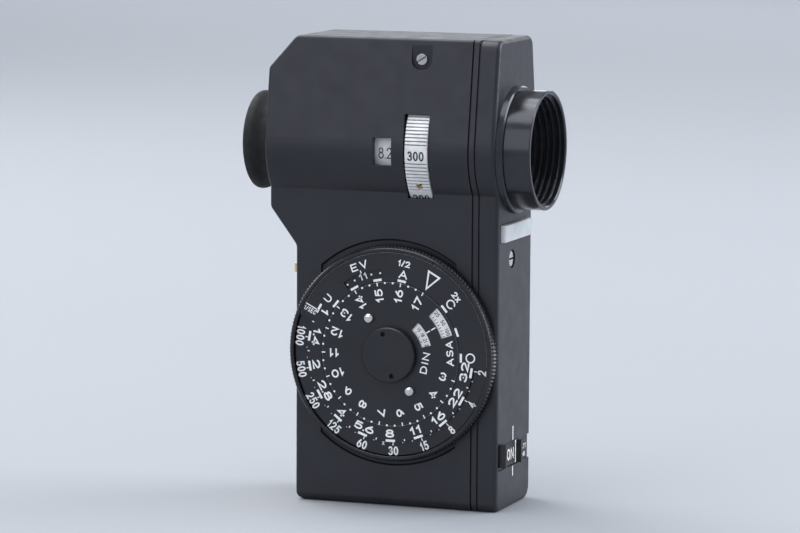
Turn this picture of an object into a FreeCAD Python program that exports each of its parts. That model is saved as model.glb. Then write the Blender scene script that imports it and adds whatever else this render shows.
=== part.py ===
"""Handheld spot exposure meter, in millimetres.

The origin is on the face the meter stands on, halfway along the grip. X runs along the optical axis
towards the subject, -Y is the side with the calculator dial, and Z is up.
"""

import FreeCAD, Part
import Sketcher
import math
import os
import re

SIZES = {
    # case
    "case_height": 125.0,
    "grip_half_width": 28.6,
    "grip_half_depth": 13.7,
    "head_left": 36.1,
    "axis_height": 95.6,
    "head_radius": 17.8,
    "top_half_depth": 13.5,
    "shoulder_width": 7.4,
    "shoulder_height": 8.6,
    "head_bottom": 78.9,
    "grip_top": 68.9,
    "wall": 1.8,
    "corner_round": 2.3,
    "edge_round": 0.9,
    "back_base_round": 3.9,
    "nose_round": 1.2,
    "nose_corner": 3.0,
    "seam_gap": 0.4,
    "shell_end": 21.1,
    "nose_start": 23.3,
    "seam_depth": 0.5,
    # calculator dial
    "dial_middle": -0.5,
    "dial_height": 41.4,
    "pocket_radius": 30.05,
    "pocket_middle": -1.1,
    "pocket_depth": 0.7,
    "rim_radius": 29.0,
    "rim_inner": 27.35,
    "dial_front": 17.2,
    "plate_narrow": 23.5,
    "plate_inner": 19.55,
    "plate_thickness": 0.5,
    "film_dial_radius": 19.4,
    "cap_radius": 7.4,
    "cap_front": 18.8,
    "pin_circle": 11.1,
    "pin_radius": 1.3,
    # optics
    "hood_front": 37.6,
    "hood_radius": 15.9,
    "hood_bore": 14.7,
    "hood_back": 26.0,
    "flange_radius": 16.7,
    "flange_front": 30.3,
    "barrel_radius": 14.2,
    "barrel_bore": 13.0,
    "drum_radius": 14.95,
    "ring_radius": 18.3,
    "ring_left": 3.7,
    "ring_right": 10.1,
    "eyepiece_radius": 9.5,
    "eyepiece_bore": 8.3,
    "eyecup_radius": 13.3,
    "eyecup_end": 44.7,
    # battery and its door
    "door_left": 25.0,
    "door_right": 5.0,
    "door_bottom": 5.0,
    "door_top": 60.0,
    "hinge_radius": 0.9,
    "knuckle_radius": 1.6,
    "fit": 0.05,
}

# Places and proportions of single features. A pair or a longer tuple says in its comment what it holds.

CLEARANCE = 0.4
WHEEL_SLOT = (3.2, 10.35, 82.9, 105.3)  # left, right, bottom, top
WINDOW = (-5.4, -0.2, 91.6, 98.9)  # left, right, bottom, top
SCREW_POCKET = (4.3, 9.9, 116.8, 2.75)  # left, right, bottom, corner radius
TOP_SCREW = (7.1, 119.7)  # x, z
TOP_SCREW_TURN = 32.0
POCKET_BEVEL = 0.35
POCKET_SIDES = (-21.3, 16.8)  # where the dial's recess is cut off, left and right
LUG_HEIGHT = 61.3
LUG_CENTRE = -31.6
BAR = (-12.05, 10.9, 71.9, 76.4)  # front, back, bottom, top
NOSE_SCREW = (-2.6, 66.7)  # y, z
NOSE_SCREW_FACE = 28.3
SHELF_HEIGHT = 75.4
SWITCH_HEIGHT = 14.3
CHANNEL_DEPTH = 0.8
CHANNEL_START = -12.4
HINGE_Y = 12.1
EAR_LEFT = (-25.1, -21.4)
EAR_RIGHT = (1.4, 5.1)
DOOR_GAP = 0.15
DOOR_SCREW = (-10.0, 55.5)  # x, z
RIDGE_COUNT = 5
RIDGE_PITCH = 1.72
RIDGE_DEPTH = 0.5
OBJECTIVE = (18.2, 4.2)  # left end, thickness
VARIATOR = (5.6, 9.4)  # left end, right end
COMPENSATOR = (-9.4, -6.6)  # left end, right end
SET_SCREW_ANGLE = -31.0
SET_SCREW_X = 7.2
PRISM = (-23.5, -12.5, 5.5)  # left, right, half width
METER_HEIGHT = 114.0
NARROW_PLATE = (160.0, 354.0)  # angles between which the plate leaves the speeds in sight
KEY_ANGLE = 61.0
EV_WINDOW = (95.5, 125.5, 20.6, 22.75)  # two angles, two radii
ASA_WINDOW = (19.0, 45.0, 15.1, 18.5)
DIN_WINDOW = (14.5, 48.5, 9.0, 11.9)
PIN_ANGLE = 121.5
SPANNER_ANGLE = 102.8
SPANNER_REACH = 5.7
BATTERY = ((-23.6, -7.5, 8.7), (2.9, 10.0, 57.2))  # two opposite corners
BOARD_BACK = -8.6

document = FreeCAD.newDocument("light_meter")
sheet = document.addObject("Spreadsheet::Sheet", "Sizes")
for row, (alias, number) in enumerate(SIZES.items(), start=1):
    sheet.set(f"A{row}", alias)
    sheet.set(f"B{row}", str(number))
    sheet.setAlias(f"B{row}", alias)
document.recompute()

nodes = []


def bound(expression):
    """An expression with every name of the sheet written as Sizes.name."""
    names = r"\b(" + "|".join(SIZES) + r")\b"
    return re.sub(names, r"Sizes.\1", str(expression))


def size(expression):
    """The number that an expression of sheet names comes to."""
    return float(sheet.evalExpression(bound(expression)))


def node(label, item):
    """Names a finished sub-part, which is written to a file of that name."""
    item.Label = label
    nodes.append(item)
    return item


def place(item, base, rotation=None):
    """Binds an item's place to three expressions, after turning it."""
    if rotation is not None:
        item.Placement = FreeCAD.Placement(FreeCAD.Vector(), rotation)
    for letter, expression in zip("xyz", base):
        item.setExpression(f".Placement.Base.{letter}", bound(expression))


def block(name, low, high):
    """A box between two corners."""
    item = document.addObject("Part::Box", name)
    for side, start, end in zip(("Length", "Width", "Height"), low, high):
        item.setExpression(side, bound(f"({end}) - ({start})"))
    place(item, low)
    return item


ALONG = {
    "X": FreeCAD.Rotation(FreeCAD.Vector(0, 1, 0), 90),
    "Y": FreeCAD.Rotation(FreeCAD.Vector(1, 0, 0), -90),
    "Z": FreeCAD.Rotation(),
}


def rod(name, axis, radius, start, end, centre):
    """A cylinder along one axis; centre gives its other two coordinates in X, Y, Z order."""
    item = document.addObject("Part::Cylinder", name)
    item.setExpression("Radius", bound(radius))
    item.setExpression("Height", bound(f"({end}) - ({start})"))
    base = list(centre)
    base.insert("XYZ".index(axis), start)
    place(item, base, ALONG[axis])
    return item


def turned(name, axis, profile):
    """A revolved body: profile lists (position along the axis, radius) as expressions.

    Pieces turned about X lie on the optical axis, and those turned about Y on the dial's axis.
    """
    body = document.addObject("PartDesign::Body", name)
    role = {"X": "XZ_Plane", "Y": "YZ_Plane"}[axis]
    plane = next(item for item in body.Origin.OriginFeatures if item.Role == role)
    sketch = body.newObject("Sketcher::SketchObject", name + "_profile")
    sketch.AttachmentSupport = (plane, [""])
    sketch.MapMode = "FlatFace"
    corners = [FreeCAD.Vector(size(u), size(v), 0) for u, v in profile]
    for index, corner in enumerate(corners):
        sketch.addGeometry(Part.LineSegment(corner, corners[(index + 1) % len(corners)]), False)
    for index in range(len(corners)):
        following = (index + 1) % len(corners)
        sketch.addConstraint(Sketcher.Constraint("Coincident", index, 2, following, 1))
    for index, (expressions, corner) in enumerate(zip(profile, corners)):
        for kind, axis_line, expression, value in (
            ("DistanceX", -2, expressions[0], corner.x),
            ("DistanceY", -1, expressions[1], corner.y),
        ):
            if abs(value) < 1e-9:
                sketch.addConstraint(Sketcher.Constraint("PointOnObject", index, 1, axis_line))
                continue
            number = sketch.addConstraint(Sketcher.Constraint(kind, -1, 1, index, 1, value))
            sketch.setExpression(f"Constraints[{number}]", bound(expression))
    revolution = body.newObject("PartDesign::Revolution", name + "_turn")
    revolution.Profile = sketch
    revolution.ReferenceAxis = (sketch, ["H_Axis"])
    revolution.Angle = 360.0
    base = {"X": (0, 0, "axis_height"), "Y": ("dial_middle", 0, "dial_height")}[axis]
    place(body, base)
    return body


def combined(kind, name, items):
    """The union or the group of several items."""
    item = document.addObject(kind, name)
    listed = "Links" if kind == "Part::Compound" else "Shapes"
    setattr(item, listed, items)
    return item


def joined(name, items):
    return combined("Part::MultiFuse", name, items)


def grouped(name, items):
    return combined("Part::Compound", name, items)


def cut(name, base, *tools):
    """Base with the tools taken away."""
    item = document.addObject("Part::Cut", name)
    item.Base = base
    item.Tool = tools[0] if len(tools) == 1 else joined(name + "_tools", list(tools))
    return item


def shared(name, first, second):
    """What two items have in common."""
    item = document.addObject("Part::Common", name)
    item.Base = first
    item.Tool = second
    return item


def coded(name, shape):
    """A feature whose shape is made below with Part's own functions."""
    item = document.addObject("Part::Feature", name)
    item.Shape = shape
    return item


# The case: an outline in XZ and a section in YZ, both run through each other.


def rounded_outline(points, lift):
    """A closed wire through (first, second, corner radius) points, lifted to 3-D by a function."""
    edges = []
    count = len(points)
    starts = []
    ends = []
    for index, (first, second, radius) in enumerate(points):
        corner = FreeCAD.Vector(first, second, 0)
        before = FreeCAD.Vector(*points[index - 1][:2], 0) - corner
        after = FreeCAD.Vector(*points[(index + 1) % count][:2], 0) - corner
        if radius <= 0:
            starts.append(corner)
            ends.append((corner, None))
            continue
        half_angle = before.getAngle(after) / 2
        reach = radius / math.tan(half_angle)
        bisector = (before.normalize() + after.normalize()).normalize()
        middle = corner + bisector * (radius / math.sin(half_angle) - radius)
        starts.append(corner + before * reach)
        ends.append((corner + after * reach, middle))
    for index in range(count):
        end, middle = ends[index]
        if middle is not None:
            edges.append(Part.Arc(lift(starts[index]), lift(middle), lift(end)).toShape())
        following = starts[(index + 1) % count]
        if (following - end).Length > 1e-6:
            edges.append(Part.makeLine(lift(end), lift(following)))
    return Part.Wire(edges)


def case_section(inset, top_round):
    """The YZ section: flat grip sides, a cylinder round the axis, sides leaning in to the top."""
    depth = size("grip_half_depth") - inset
    radius = size("head_radius") - inset
    top = size("case_height") - inset
    axis_z = size("axis_height")
    rise = size("case_height - axis_height")
    reach = math.hypot(rise, size("top_half_depth"))
    lean = math.atan2(rise, size("top_half_depth")) - math.acos(size("head_radius") / reach)
    tangent = FreeCAD.Vector(0, radius * math.cos(lean), axis_z + radius * math.sin(lean))
    top_y = (radius - (top - axis_z) * math.sin(lean)) / math.cos(lean)
    crease_z = axis_z - math.sqrt(radius**2 - depth**2)
    rounding = max(top_round - inset, 0.3)

    def side(sign):
        """From the middle of the base, up one side, to the middle of the top."""
        base_round = max(size("corner_round" if sign < 0 else "back_base_round") - inset, 0.3)
        base = FreeCAD.Vector(0, sign * (depth - base_round), inset)
        wall_foot = FreeCAD.Vector(0, sign * depth, inset + base_round)
        diagonal = base_round * math.sqrt(0.5)
        foot_middle = FreeCAD.Vector(
            0, sign * (depth - base_round + diagonal), inset + base_round - diagonal
        )
        crease = FreeCAD.Vector(0, sign * depth, crease_z)
        bulge = FreeCAD.Vector(0, sign * radius * math.cos(0.2), axis_z - radius * math.sin(0.2))
        shoulder = FreeCAD.Vector(0, sign * tangent.y, tangent.z)
        corner = FreeCAD.Vector(0, sign * top_y, top)
        down = (shoulder - corner).normalize()
        inwards = FreeCAD.Vector(0, -sign, 0)
        half_angle = down.getAngle(inwards) / 2
        reach_back = rounding / math.tan(half_angle)
        bisector = (down + inwards).normalize()
        top_middle = corner + bisector * (rounding / math.sin(half_angle) - rounding)
        top_start = corner + down * reach_back
        top_end = corner + inwards * reach_back
        return [
            Part.makeLine(FreeCAD.Vector(0, 0, inset), base),
            Part.Arc(base, foot_middle, wall_foot).toShape(),
            Part.makeLine(wall_foot, crease),
            Part.Arc(crease, bulge, shoulder).toShape(),
            Part.makeLine(shoulder, top_start),
            Part.Arc(top_start, top_middle, top_end).toShape(),
            Part.makeLine(top_end, FreeCAD.Vector(0, 0, top)),
        ]

    return Part.Wire(Part.__sortEdges__(side(1) + side(-1)))


def case_outline(inset):
    """The XZ outline: a grip, and a head that is wider to the left."""
    left = -size("grip_half_width") + inset
    right = size("grip_half_width") - inset
    head = -size("head_left") + inset
    top = size("case_height") - inset
    shoulder_x = -size("head_left") + size("shoulder_width") + inset / 2
    shoulder_z = size("case_height") - size("shoulder_height") - inset / 2
    rounding = max(size("corner_round") - inset, 0.3)
    points = [
        (left, inset, rounding),
        (right, inset, 0),
        (right, top, 0),
        (shoulder_x, top, rounding),
        (head, shoulder_z, rounding),
        (head, size("head_bottom") + inset / 2, rounding),
        (left, size("grip_top") + inset / 2, rounding + 2 * inset),
    ]
    return rounded_outline(points, lambda point: FreeCAD.Vector(point.x, 0, point.y))


def envelope(inset, start, end, top_round="edge_round"):
    """The case's solid form, set in by a distance, between two X positions."""
    long_way = 200
    section = Part.Face(case_section(inset, size(top_round)))
    section.translate(FreeCAD.Vector(-long_way / 2, 0, 0))
    outline = Part.Face(case_outline(inset))
    outline.translate(FreeCAD.Vector(0, -long_way / 2, 0))
    form = section.extrude(FreeCAD.Vector(long_way, 0, 0)).common(
        outline.extrude(FreeCAD.Vector(0, long_way, 0))
    )
    corner = FreeCAD.Vector(start, -long_way / 2, -long_way / 4)
    slab = Part.makeBox(end - start, long_way, long_way, corner)
    return form.common(slab).removeSplitter()


def box_between(low, high):
    """A box shape between two corners."""
    sides = [end - start for start, end in zip(low, high)]
    return Part.makeBox(*sides, FreeCAD.Vector(*low))


def cylinder(radius, start, end, axis, centre):
    """A cylinder shape along X, Y or Z; centre gives its other two coordinates in order."""
    base = list(centre)
    base.insert("XYZ".index(axis), start)
    direction = FreeCAD.Vector(*(letter == axis for letter in "XYZ"))
    return Part.makeCylinder(radius, end - start, FreeCAD.Vector(*base), direction)


def on_left_end(edge):
    """Edges that run round the left end, between its faces and the front, back or base."""
    box = edge.BoundBox
    outer = min(abs(box.YMin), abs(box.YMax)) > 11 or box.YMin < -11 and box.YMax > 11
    flat_across = box.YMax - box.YMin > 20
    return box.XMax < -size("grip_half_width") + 1.5 and outer and not flat_across


def on_nose_face(edge):
    return edge.BoundBox.XMin > size("grip_half_width") - 0.01


def rounded(shape, radius, chosen):
    """A shape with the edges that a test picks rounded."""
    return shape.makeFillet(radius, [edge for edge in shape.Edges if chosen(edge)])


def screw_pocket(side):
    """The U-shaped pocket with an upright floor round a top screw, on the front (-1) or back (1)."""
    left, right, bottom, rounding = SCREW_POCKET
    floor = size("top_half_depth") + 0.25
    pocket = box_between((left, floor, bottom), (right, 30, size("case_height") - 1.4))
    corners = [
        edge
        for edge in pocket.Edges
        if edge.BoundBox.YMax - edge.BoundBox.YMin > 5 and edge.BoundBox.ZMax < bottom + 1
    ]
    pocket = pocket.makeFillet(rounding, corners)
    if side < 0:
        pocket = pocket.mirror(FreeCAD.Vector(), FreeCAD.Vector(0, 1, 0))
    return pocket


def dial_pocket():
    """A shallow round recess for the dial's rim, bevelled, and cut off straight at both sides."""
    face = -size("grip_half_depth")
    radius = size("pocket_radius")
    centre = (size("pocket_middle"), size("dial_height"))
    disc = cylinder(radius, face - 1, face + size("pocket_depth"), "Y", centre)
    start = FreeCAD.Vector(centre[0], face - POCKET_BEVEL, centre[1])
    inwards = FreeCAD.Vector(0, 1, 0)
    bevel = Part.makeCone(radius + 2 * POCKET_BEVEL, radius, 2 * POCKET_BEVEL, start, inwards)
    strip = box_between((POCKET_SIDES[0], -30, 0), (POCKET_SIDES[1], 30, 90))
    return disc.fuse(bevel).common(strip)


def window_cut():
    """The angle window through the front."""
    left, right, bottom, top = WINDOW
    return box_between((left, -19, bottom), (right, -10, top))


def wheel_slot():
    """The slots for the zoom ring, front and back, and the room that it turns in."""
    left, right, bottom, top = WHEEL_SLOT
    room = cylinder(size("ring_radius") + CLEARANCE, left, right, "X", (0, size("axis_height")))
    return room.fuse(box_between((left, -25, bottom), (right, 25, top)))


def door_opening(grow):
    """The battery door's place in the back wall, larger by a gap all round."""
    depth = size("grip_half_depth")
    return box_between(
        (-size("door_left") - grow, depth - size("wall") - 1, size("door_bottom") - grow),
        (size("door_right") + grow, depth + 5, size("door_top") + grow),
    )


def body_shell():
    """The main casing, open towards the nose."""
    end = size("shell_end")
    wall = size("wall")
    far_left = -size("head_left") - 1
    axis_z = size("axis_height")
    shell = rounded(envelope(0, far_left, end), size("edge_round"), on_left_end)
    shell = shell.cut(envelope(wall, far_left, end + 1))
    eyepiece_hole = cylinder(size("eyepiece_radius"), far_left - 2, far_left + 5, "X", (0, axis_z))
    post_hole = cylinder(3.0, -20, -5, "Y", (size("dial_middle"), size("dial_height")))
    lug_hole = cylinder(0.9, far_left, -20, "X", (0, LUG_HEIGHT))
    shell = shell.cut([wheel_slot(), window_cut(), dial_pocket(), eyepiece_hole, post_hole, lug_hole])
    for side in (-1, 1):
        shell = shell.cut(screw_pocket(side))
        shell = shell.cut(cylinder(0.9, *sorted((side * 8, side * 18)), "Y", TOP_SCREW))
    depth = size("grip_half_depth")
    hinge_z = size("door_bottom + knuckle_radius")
    ears = []
    for left, right in (EAR_LEFT, EAR_RIGHT):
        root = (left, HINGE_Y - size("knuckle_radius"), size("door_bottom") - 1)
        ears.append(cylinder(size("knuckle_radius"), left, right, "X", (HINGE_Y, hinge_z)))
        ears.append(box_between(root, (right, depth, hinge_z)))
    shell = shell.cut(door_opening(DOOR_GAP)).fuse(ears)
    pin_radius = size("hinge_radius") + 0.03
    pin_hole = cylinder(pin_radius, EAR_LEFT[0], EAR_RIGHT[1], "X", (HINGE_Y, hinge_z))
    return shell.cut(pin_hole).removeSplitter()


def chassis_frame():
    """A bulkhead flush with the case, set in at each seam, with a shelf below the optics."""
    end = size("shell_end")
    start = size("nose_start")
    gap = size("seam_gap")
    wall = size("wall")
    fit = size("fit")
    axis_z = size("axis_height")
    neck = envelope(size("seam_depth"), end, start)
    band = envelope(0, end + gap, start - gap)
    lip = envelope(wall + fit, end - 1.6, start + 1.6).cut(envelope(wall + 1.2, end - 3, start + 3))
    frame = neck.fuse([band, lip])
    frame = frame.cut(cylinder(size("barrel_radius + fit"), end - 5, start + 5, "X", (0, axis_z)))
    frame = frame.cut(box_between((end - 5, -8, 22), (start + 5, 8, 58)))
    shelf = box_between((-29, -10.6, SHELF_HEIGHT), (end, 10.6, SHELF_HEIGHT + 1.4))
    screw_x, screw_z = TOP_SCREW
    arm = box_between((screw_x - 3.2, -11, screw_z - 1.6), (end, 11, screw_z + 1.6))
    frame = frame.fuse([shelf, arm])
    nose_hole = cylinder(1.1, end - 5, start + 5, "X", NOSE_SCREW)
    screw_hole = cylinder(0.9, -15, 15, "Y", TOP_SCREW)
    return frame.cut([nose_hole, screw_hole]).removeSplitter()


def nose_cap():
    """The end cap that carries the hood, the frosted bar, the screw and the switch."""
    front = size("grip_half_width")
    start = size("nose_start")
    axis_z = size("axis_height")
    block_form = envelope(0, start, front, "nose_corner")
    cap = rounded(block_form, size("nose_round"), on_nose_face)
    inside = front - size("wall")
    cap = cap.cut(envelope(size("wall"), start - 1, inside))
    hole = cylinder(size("hood_bore") + 0.7, start, front + 2, "X", (0, axis_z))
    near, far, bottom, top = BAR
    low = (front - 3.4, near - 0.06, bottom - 0.06)
    bar_slot = box_between(low, (front + 3, far + 0.06, top + 0.06))
    screw_seat = cylinder(2.45, NOSE_SCREW_FACE - 0.9, front + 1, "X", NOSE_SCREW)
    screw_hole = cylinder(1.1, inside - 1, front, "X", NOSE_SCREW)
    low = (front - CHANNEL_DEPTH, CHANNEL_START, SWITCH_HEIGHT - 3.3)
    channel = box_between(low, (front + 2, 20, SWITCH_HEIGHT + 3.3))
    low = (inside - 1, -6.5, SWITCH_HEIGHT - 1.2)
    stem_slot = box_between(low, (front, 6.5, SWITCH_HEIGHT + 1.2))
    return cap.cut([hole, bar_slot, screw_seat, screw_hole, channel, stem_slot]).removeSplitter()


def frosted_bar():
    """The translucent bar under the hood, rounded at its corners and along its edges."""
    near, far, bottom, top = BAR
    front = size("grip_half_width")
    face = front + 1.35
    bar = box_between((front - 3.2, near, bottom), (face, far, top))
    bar = rounded(bar, 1.0, lambda edge: edge.BoundBox.XMin > face - 0.1 and edge.Length < 5)
    return rounded(bar, 0.3, lambda edge: edge.BoundBox.XMax > face - 0.1)


def slotted_screw(axis, centre, head_radius, shank_radius, tip, seat, face, slot_width, turn=0):
    """A cheese-head screw along X or Y; tip, seat and face are positions along the axis."""
    head = cylinder(head_radius, seat, face, axis, centre)
    shank = cylinder(shank_radius, tip, seat, axis, centre)
    floor = face - 0.65 * (face - seat)
    half = slot_width / 2
    slot = box_between((floor, -5, -half), (face + 1, 5, half))
    if axis == "Y":
        slot.rotate(FreeCAD.Vector(), FreeCAD.Vector(0, 0, 1), 90)
        slot.rotate(FreeCAD.Vector(), FreeCAD.Vector(0, 1, 0), turn)
        slot.translate(FreeCAD.Vector(centre[0], 0, centre[1]))
    else:
        slot.translate(FreeCAD.Vector(0, *centre))
    return head.fuse(shank).cut(slot)


def make_case():
    node("body_shell", coded("shell", body_shell()))
    node("chassis_frame", coded("chassis", chassis_frame()))
    node("nose_cap", coded("nose", nose_cap()))
    node("illumination_window", coded("bar", frosted_bar()))
    floor = size("top_half_depth") + 0.25
    back_screw = slotted_screw("Y", TOP_SCREW, 1.45, 0.85, 8, floor, floor + 0.7, 0.5, -TOP_SCREW_TURN)
    front_screw = back_screw.mirror(FreeCAD.Vector(), FreeCAD.Vector(0, 1, 0))
    node("top_screws", coded("screws", Part.makeCompound([front_screw, back_screw])))
    seat = NOSE_SCREW_FACE - 0.9
    screw = slotted_screw("X", NOSE_SCREW, 2.0, 1.05, 22, seat, NOSE_SCREW_FACE, 0.45)
    node("nose_screw", coded("nose_fastener", screw))


def make_strap_lug():
    low = LUG_HEIGHT - 1.2
    high = LUG_HEIGHT + 1.2
    eye = [
        rod("lug_end", "Z", 2.6, low, high, (LUG_CENTRE, 0)),
        block("lug_arm", (LUG_CENTRE, -2.6, low), ("-grip_half_width", 2.6, high)),
        rod("lug_shank", "X", 0.85, "-grip_half_width", "-grip_half_width + 2.8", (0, LUG_HEIGHT)),
    ]
    bore = rod("lug_bore", "Z", 1.5, low - 1, high + 1, (LUG_CENTRE, 0))
    node("strap_lug", cut("lug", joined("lug_eye", eye), bore))


# Optics, turned about the optical axis.

def make_hood():
    profile = [("hood_back", "hood_bore"), ("hood_back", "hood_bore + 0.65")]
    profile += [("flange_front", "hood_bore + 0.65"), ("flange_front", "hood_radius")]
    profile += [("hood_front - 0.25", "hood_radius"), ("hood_front", "hood_radius - 0.25")]
    profile += [("hood_front", "hood_bore + 0.3"), ("hood_front - 0.3", "hood_bore")]
    for ridge in range(RIDGE_COUNT):
        crest = f"hood_front - 1.6 - {ridge} * {RIDGE_PITCH}"
        profile += [
            (crest + " + 0.12", "hood_bore"),
            (crest, f"hood_bore - {RIDGE_DEPTH}"),
            (crest + " - 0.7", "hood_bore"),
        ]
    node("lens_hood", turned("hood", "X", profile))
    flange = [
        ("grip_half_width", "hood_bore + 0.7"),
        ("grip_half_width", "flange_radius + 0.4"),
        ("flange_front - 0.35", "flange_radius + 0.1"),
        ("flange_front", "flange_radius - 0.3"),
        ("flange_front", "hood_bore + 0.7"),
    ]
    node("hood_flange", turned("flange", "X", flange))


def lens(name, radius, start, thickness, curvature):
    """A biconvex lens on the optical axis, as what a cylinder and two spheres have in common."""
    blank = rod(name + "_blank", "X", radius, start, start + thickness, (0, "axis_height"))
    faces = []
    for side, centre in (("left", start + curvature), ("right", start + thickness - curvature)):
        ball = document.addObject("Part::Sphere", f"{name}_{side}")
        ball.Radius = curvature
        place(ball, (centre, 0, "axis_height"))
        faces.append(ball)
    return shared(name, blank, shared(name + "_faces", *faces))


def ring(name, axis, outer, inner, start, end):
    """A plain ring on the optical axis or on the dial's axis."""
    return turned(name, axis, [(start, inner), (start, outer), (end, outer), (end, inner)])


def make_barrel():
    profile = [
        (-12, "barrel_bore"),
        (-12, "barrel_radius"),
        ("nose_start", "barrel_radius"),
        ("nose_start", "barrel_radius + 0.5"),
        ("nose_start + 1.2", "barrel_radius + 0.5"),
        ("nose_start + 1.2", "barrel_bore"),
    ]
    tube = turned("barrel_tube", "X", profile)
    slot = block("guide_slot", (-10.4, -0.65, "axis_height + 12"), (10.4, 0.65, "axis_height + 15"))
    node("lens_barrel", cut("barrel", tube, slot))
    node("objective_lens", lens("objective", 12.9, *OBJECTIVE, 38.0))
    node("objective_ring", ring("retainer", "X", 12.95, 11.7, 22.5, 24.2))


def make_carrier(label, ends, thickness):
    """A lens in a sliding mount with a pin that runs in the barrel's guide slot."""
    start, end = ends
    middle = (start + end) / 2
    mount = ring(label + "_ring", "X", "barrel_bore - 0.07", 10.5, start, end)
    pin = rod(label + "_pin", "Z", 0.6, "axis_height + 12.4", "axis_height + 14.1", (middle, 0))
    node(label + "_carrier", joined(label + "_mount", [mount, pin]))
    node(label + "_lens", lens(label + "_glass", 10.45, middle - thickness / 2, thickness, 42.0))


def make_zoom():
    node("angle_drum", ring("drum", "X", "drum_radius", "barrel_radius + fit", -8.6, 11.6))
    profile = [
        ("ring_left", "drum_radius + 0.02"),
        ("ring_left", "ring_radius - 0.4"),
        ("ring_left + 0.4", "ring_radius"),
        ("ring_right - 0.4", "ring_radius"),
        ("ring_right", "ring_radius - 0.4"),
        ("ring_right", "drum_radius + 0.02"),
    ]
    blank = turned("ring_blank", "X", profile)
    turn = math.radians(SET_SCREW_ANGLE)
    outwards = FreeCAD.Vector(0, -math.cos(turn), math.sin(turn))
    centre = FreeCAD.Vector(SET_SCREW_X, 0, size("axis_height"))

    def plug(radius, near, far):
        return Part.makeCylinder(radius, far - near, centre + outwards * near, outwards)

    hole = coded("set_screw_hole", plug(0.95, size("drum_radius"), 20))
    node("zoom_ring", cut("ring", blank, hole))
    screw = plug(0.93, size("drum_radius + 0.05"), size("ring_radius") - 0.15)
    node("zoom_ring_screw", coded("set_screw", screw))
    make_carrier("variator", VARIATOR, 3.4)
    make_carrier("compensator", COMPENSATOR, 2.6)


def make_light_path():
    left, right, half = PRISM
    z = size("axis_height")
    cube = box_between((left, -half, z - half), (right, half, z + half))
    foot = FreeCAD.Vector(left, -half, z - half)
    top = FreeCAD.Vector(right, -half, z + half)
    back = FreeCAD.Vector(left, -half, z + half)
    upper = Part.Face(Part.makePolygon([foot, top, back, foot])).extrude(FreeCAD.Vector(0, 2 * half, 0))
    node("beam_splitter", coded("prisms", Part.makeCompound([upper, cube.cut(upper)])))
    floor = SHELF_HEIGHT + 1.4
    seat = f"axis_height - {half}"
    mount = block("mount_block", (left, -6.5, floor), (right, 6.5, seat))
    inside = block("mount_hollow", (left + 1.5, -7, floor + 1.4), (right - 1.5, 7, seat + " - 1.4"))
    node("prism_mount", cut("mount", mount, inside))
    top = f"axis_height + {half}"
    holder = block("holder_block", (left, -6, top), (right, 6, top + " + 3.5"))
    middle = (left + right) / 2
    bore = rod("holder_bore", "Z", 4.05, top + " - 1", top + " + 5", (middle, 0))
    node("photocell_holder", cut("holder", holder, bore))
    node("photocell", rod("cell", "Z", 4.0, top + " + 0.2", top + " + 5.0", (middle, 0)))


def make_eyepiece():
    tube = [
        (-26.8, "eyepiece_bore"),
        (-26.8, "eyepiece_radius - fit"),
        (-33.0, "eyepiece_radius - fit"),
        (-33.0, 11.2),
        ("-head_left + wall + fit", 11.2),
        ("-head_left + wall + fit", "eyepiece_radius - fit"),
        (-43.0, "eyepiece_radius - fit"),
        (-43.0, "eyepiece_bore"),
    ]
    node("eyepiece_tube", turned("eye_tube", "X", tube))
    node("eyepiece_lens", lens("eye_lens", 8.25, -40.6, 3.2, 24.0))
    node("eyepiece_ring", ring("eye_ring", "X", 8.28, 7.2, -42.4, -40.2))
    node("reticle", rod("reticle_disc", "X", 8.25, -28.0, -27.2, (0, "axis_height")))
    cup = [
        ("-head_left - 0.3", "eyepiece_radius"),
        ("-head_left - 0.3", "eyecup_radius - 1.6"),
        ("-head_left - 3.4", "eyecup_radius - 1.4"),
        ("-head_left - 5.4", "eyecup_radius - 0.2"),
        ("-head_left - 6.1", "eyecup_radius"),
        ("-eyecup_end + 1.0", "eyecup_radius"),
        ("-eyecup_end + 0.3", "eyecup_radius - 0.6"),
        ("-eyecup_end", "eyecup_radius - 1.5"),
        ("-eyecup_end + 0.2", "eyecup_radius - 2.1"),
        (-43.05, "eyepiece_radius + 0.6"),
        (-43.05, "eyepiece_radius"),
    ]
    node("eyecup", turned("cup", "X", cup))


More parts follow.
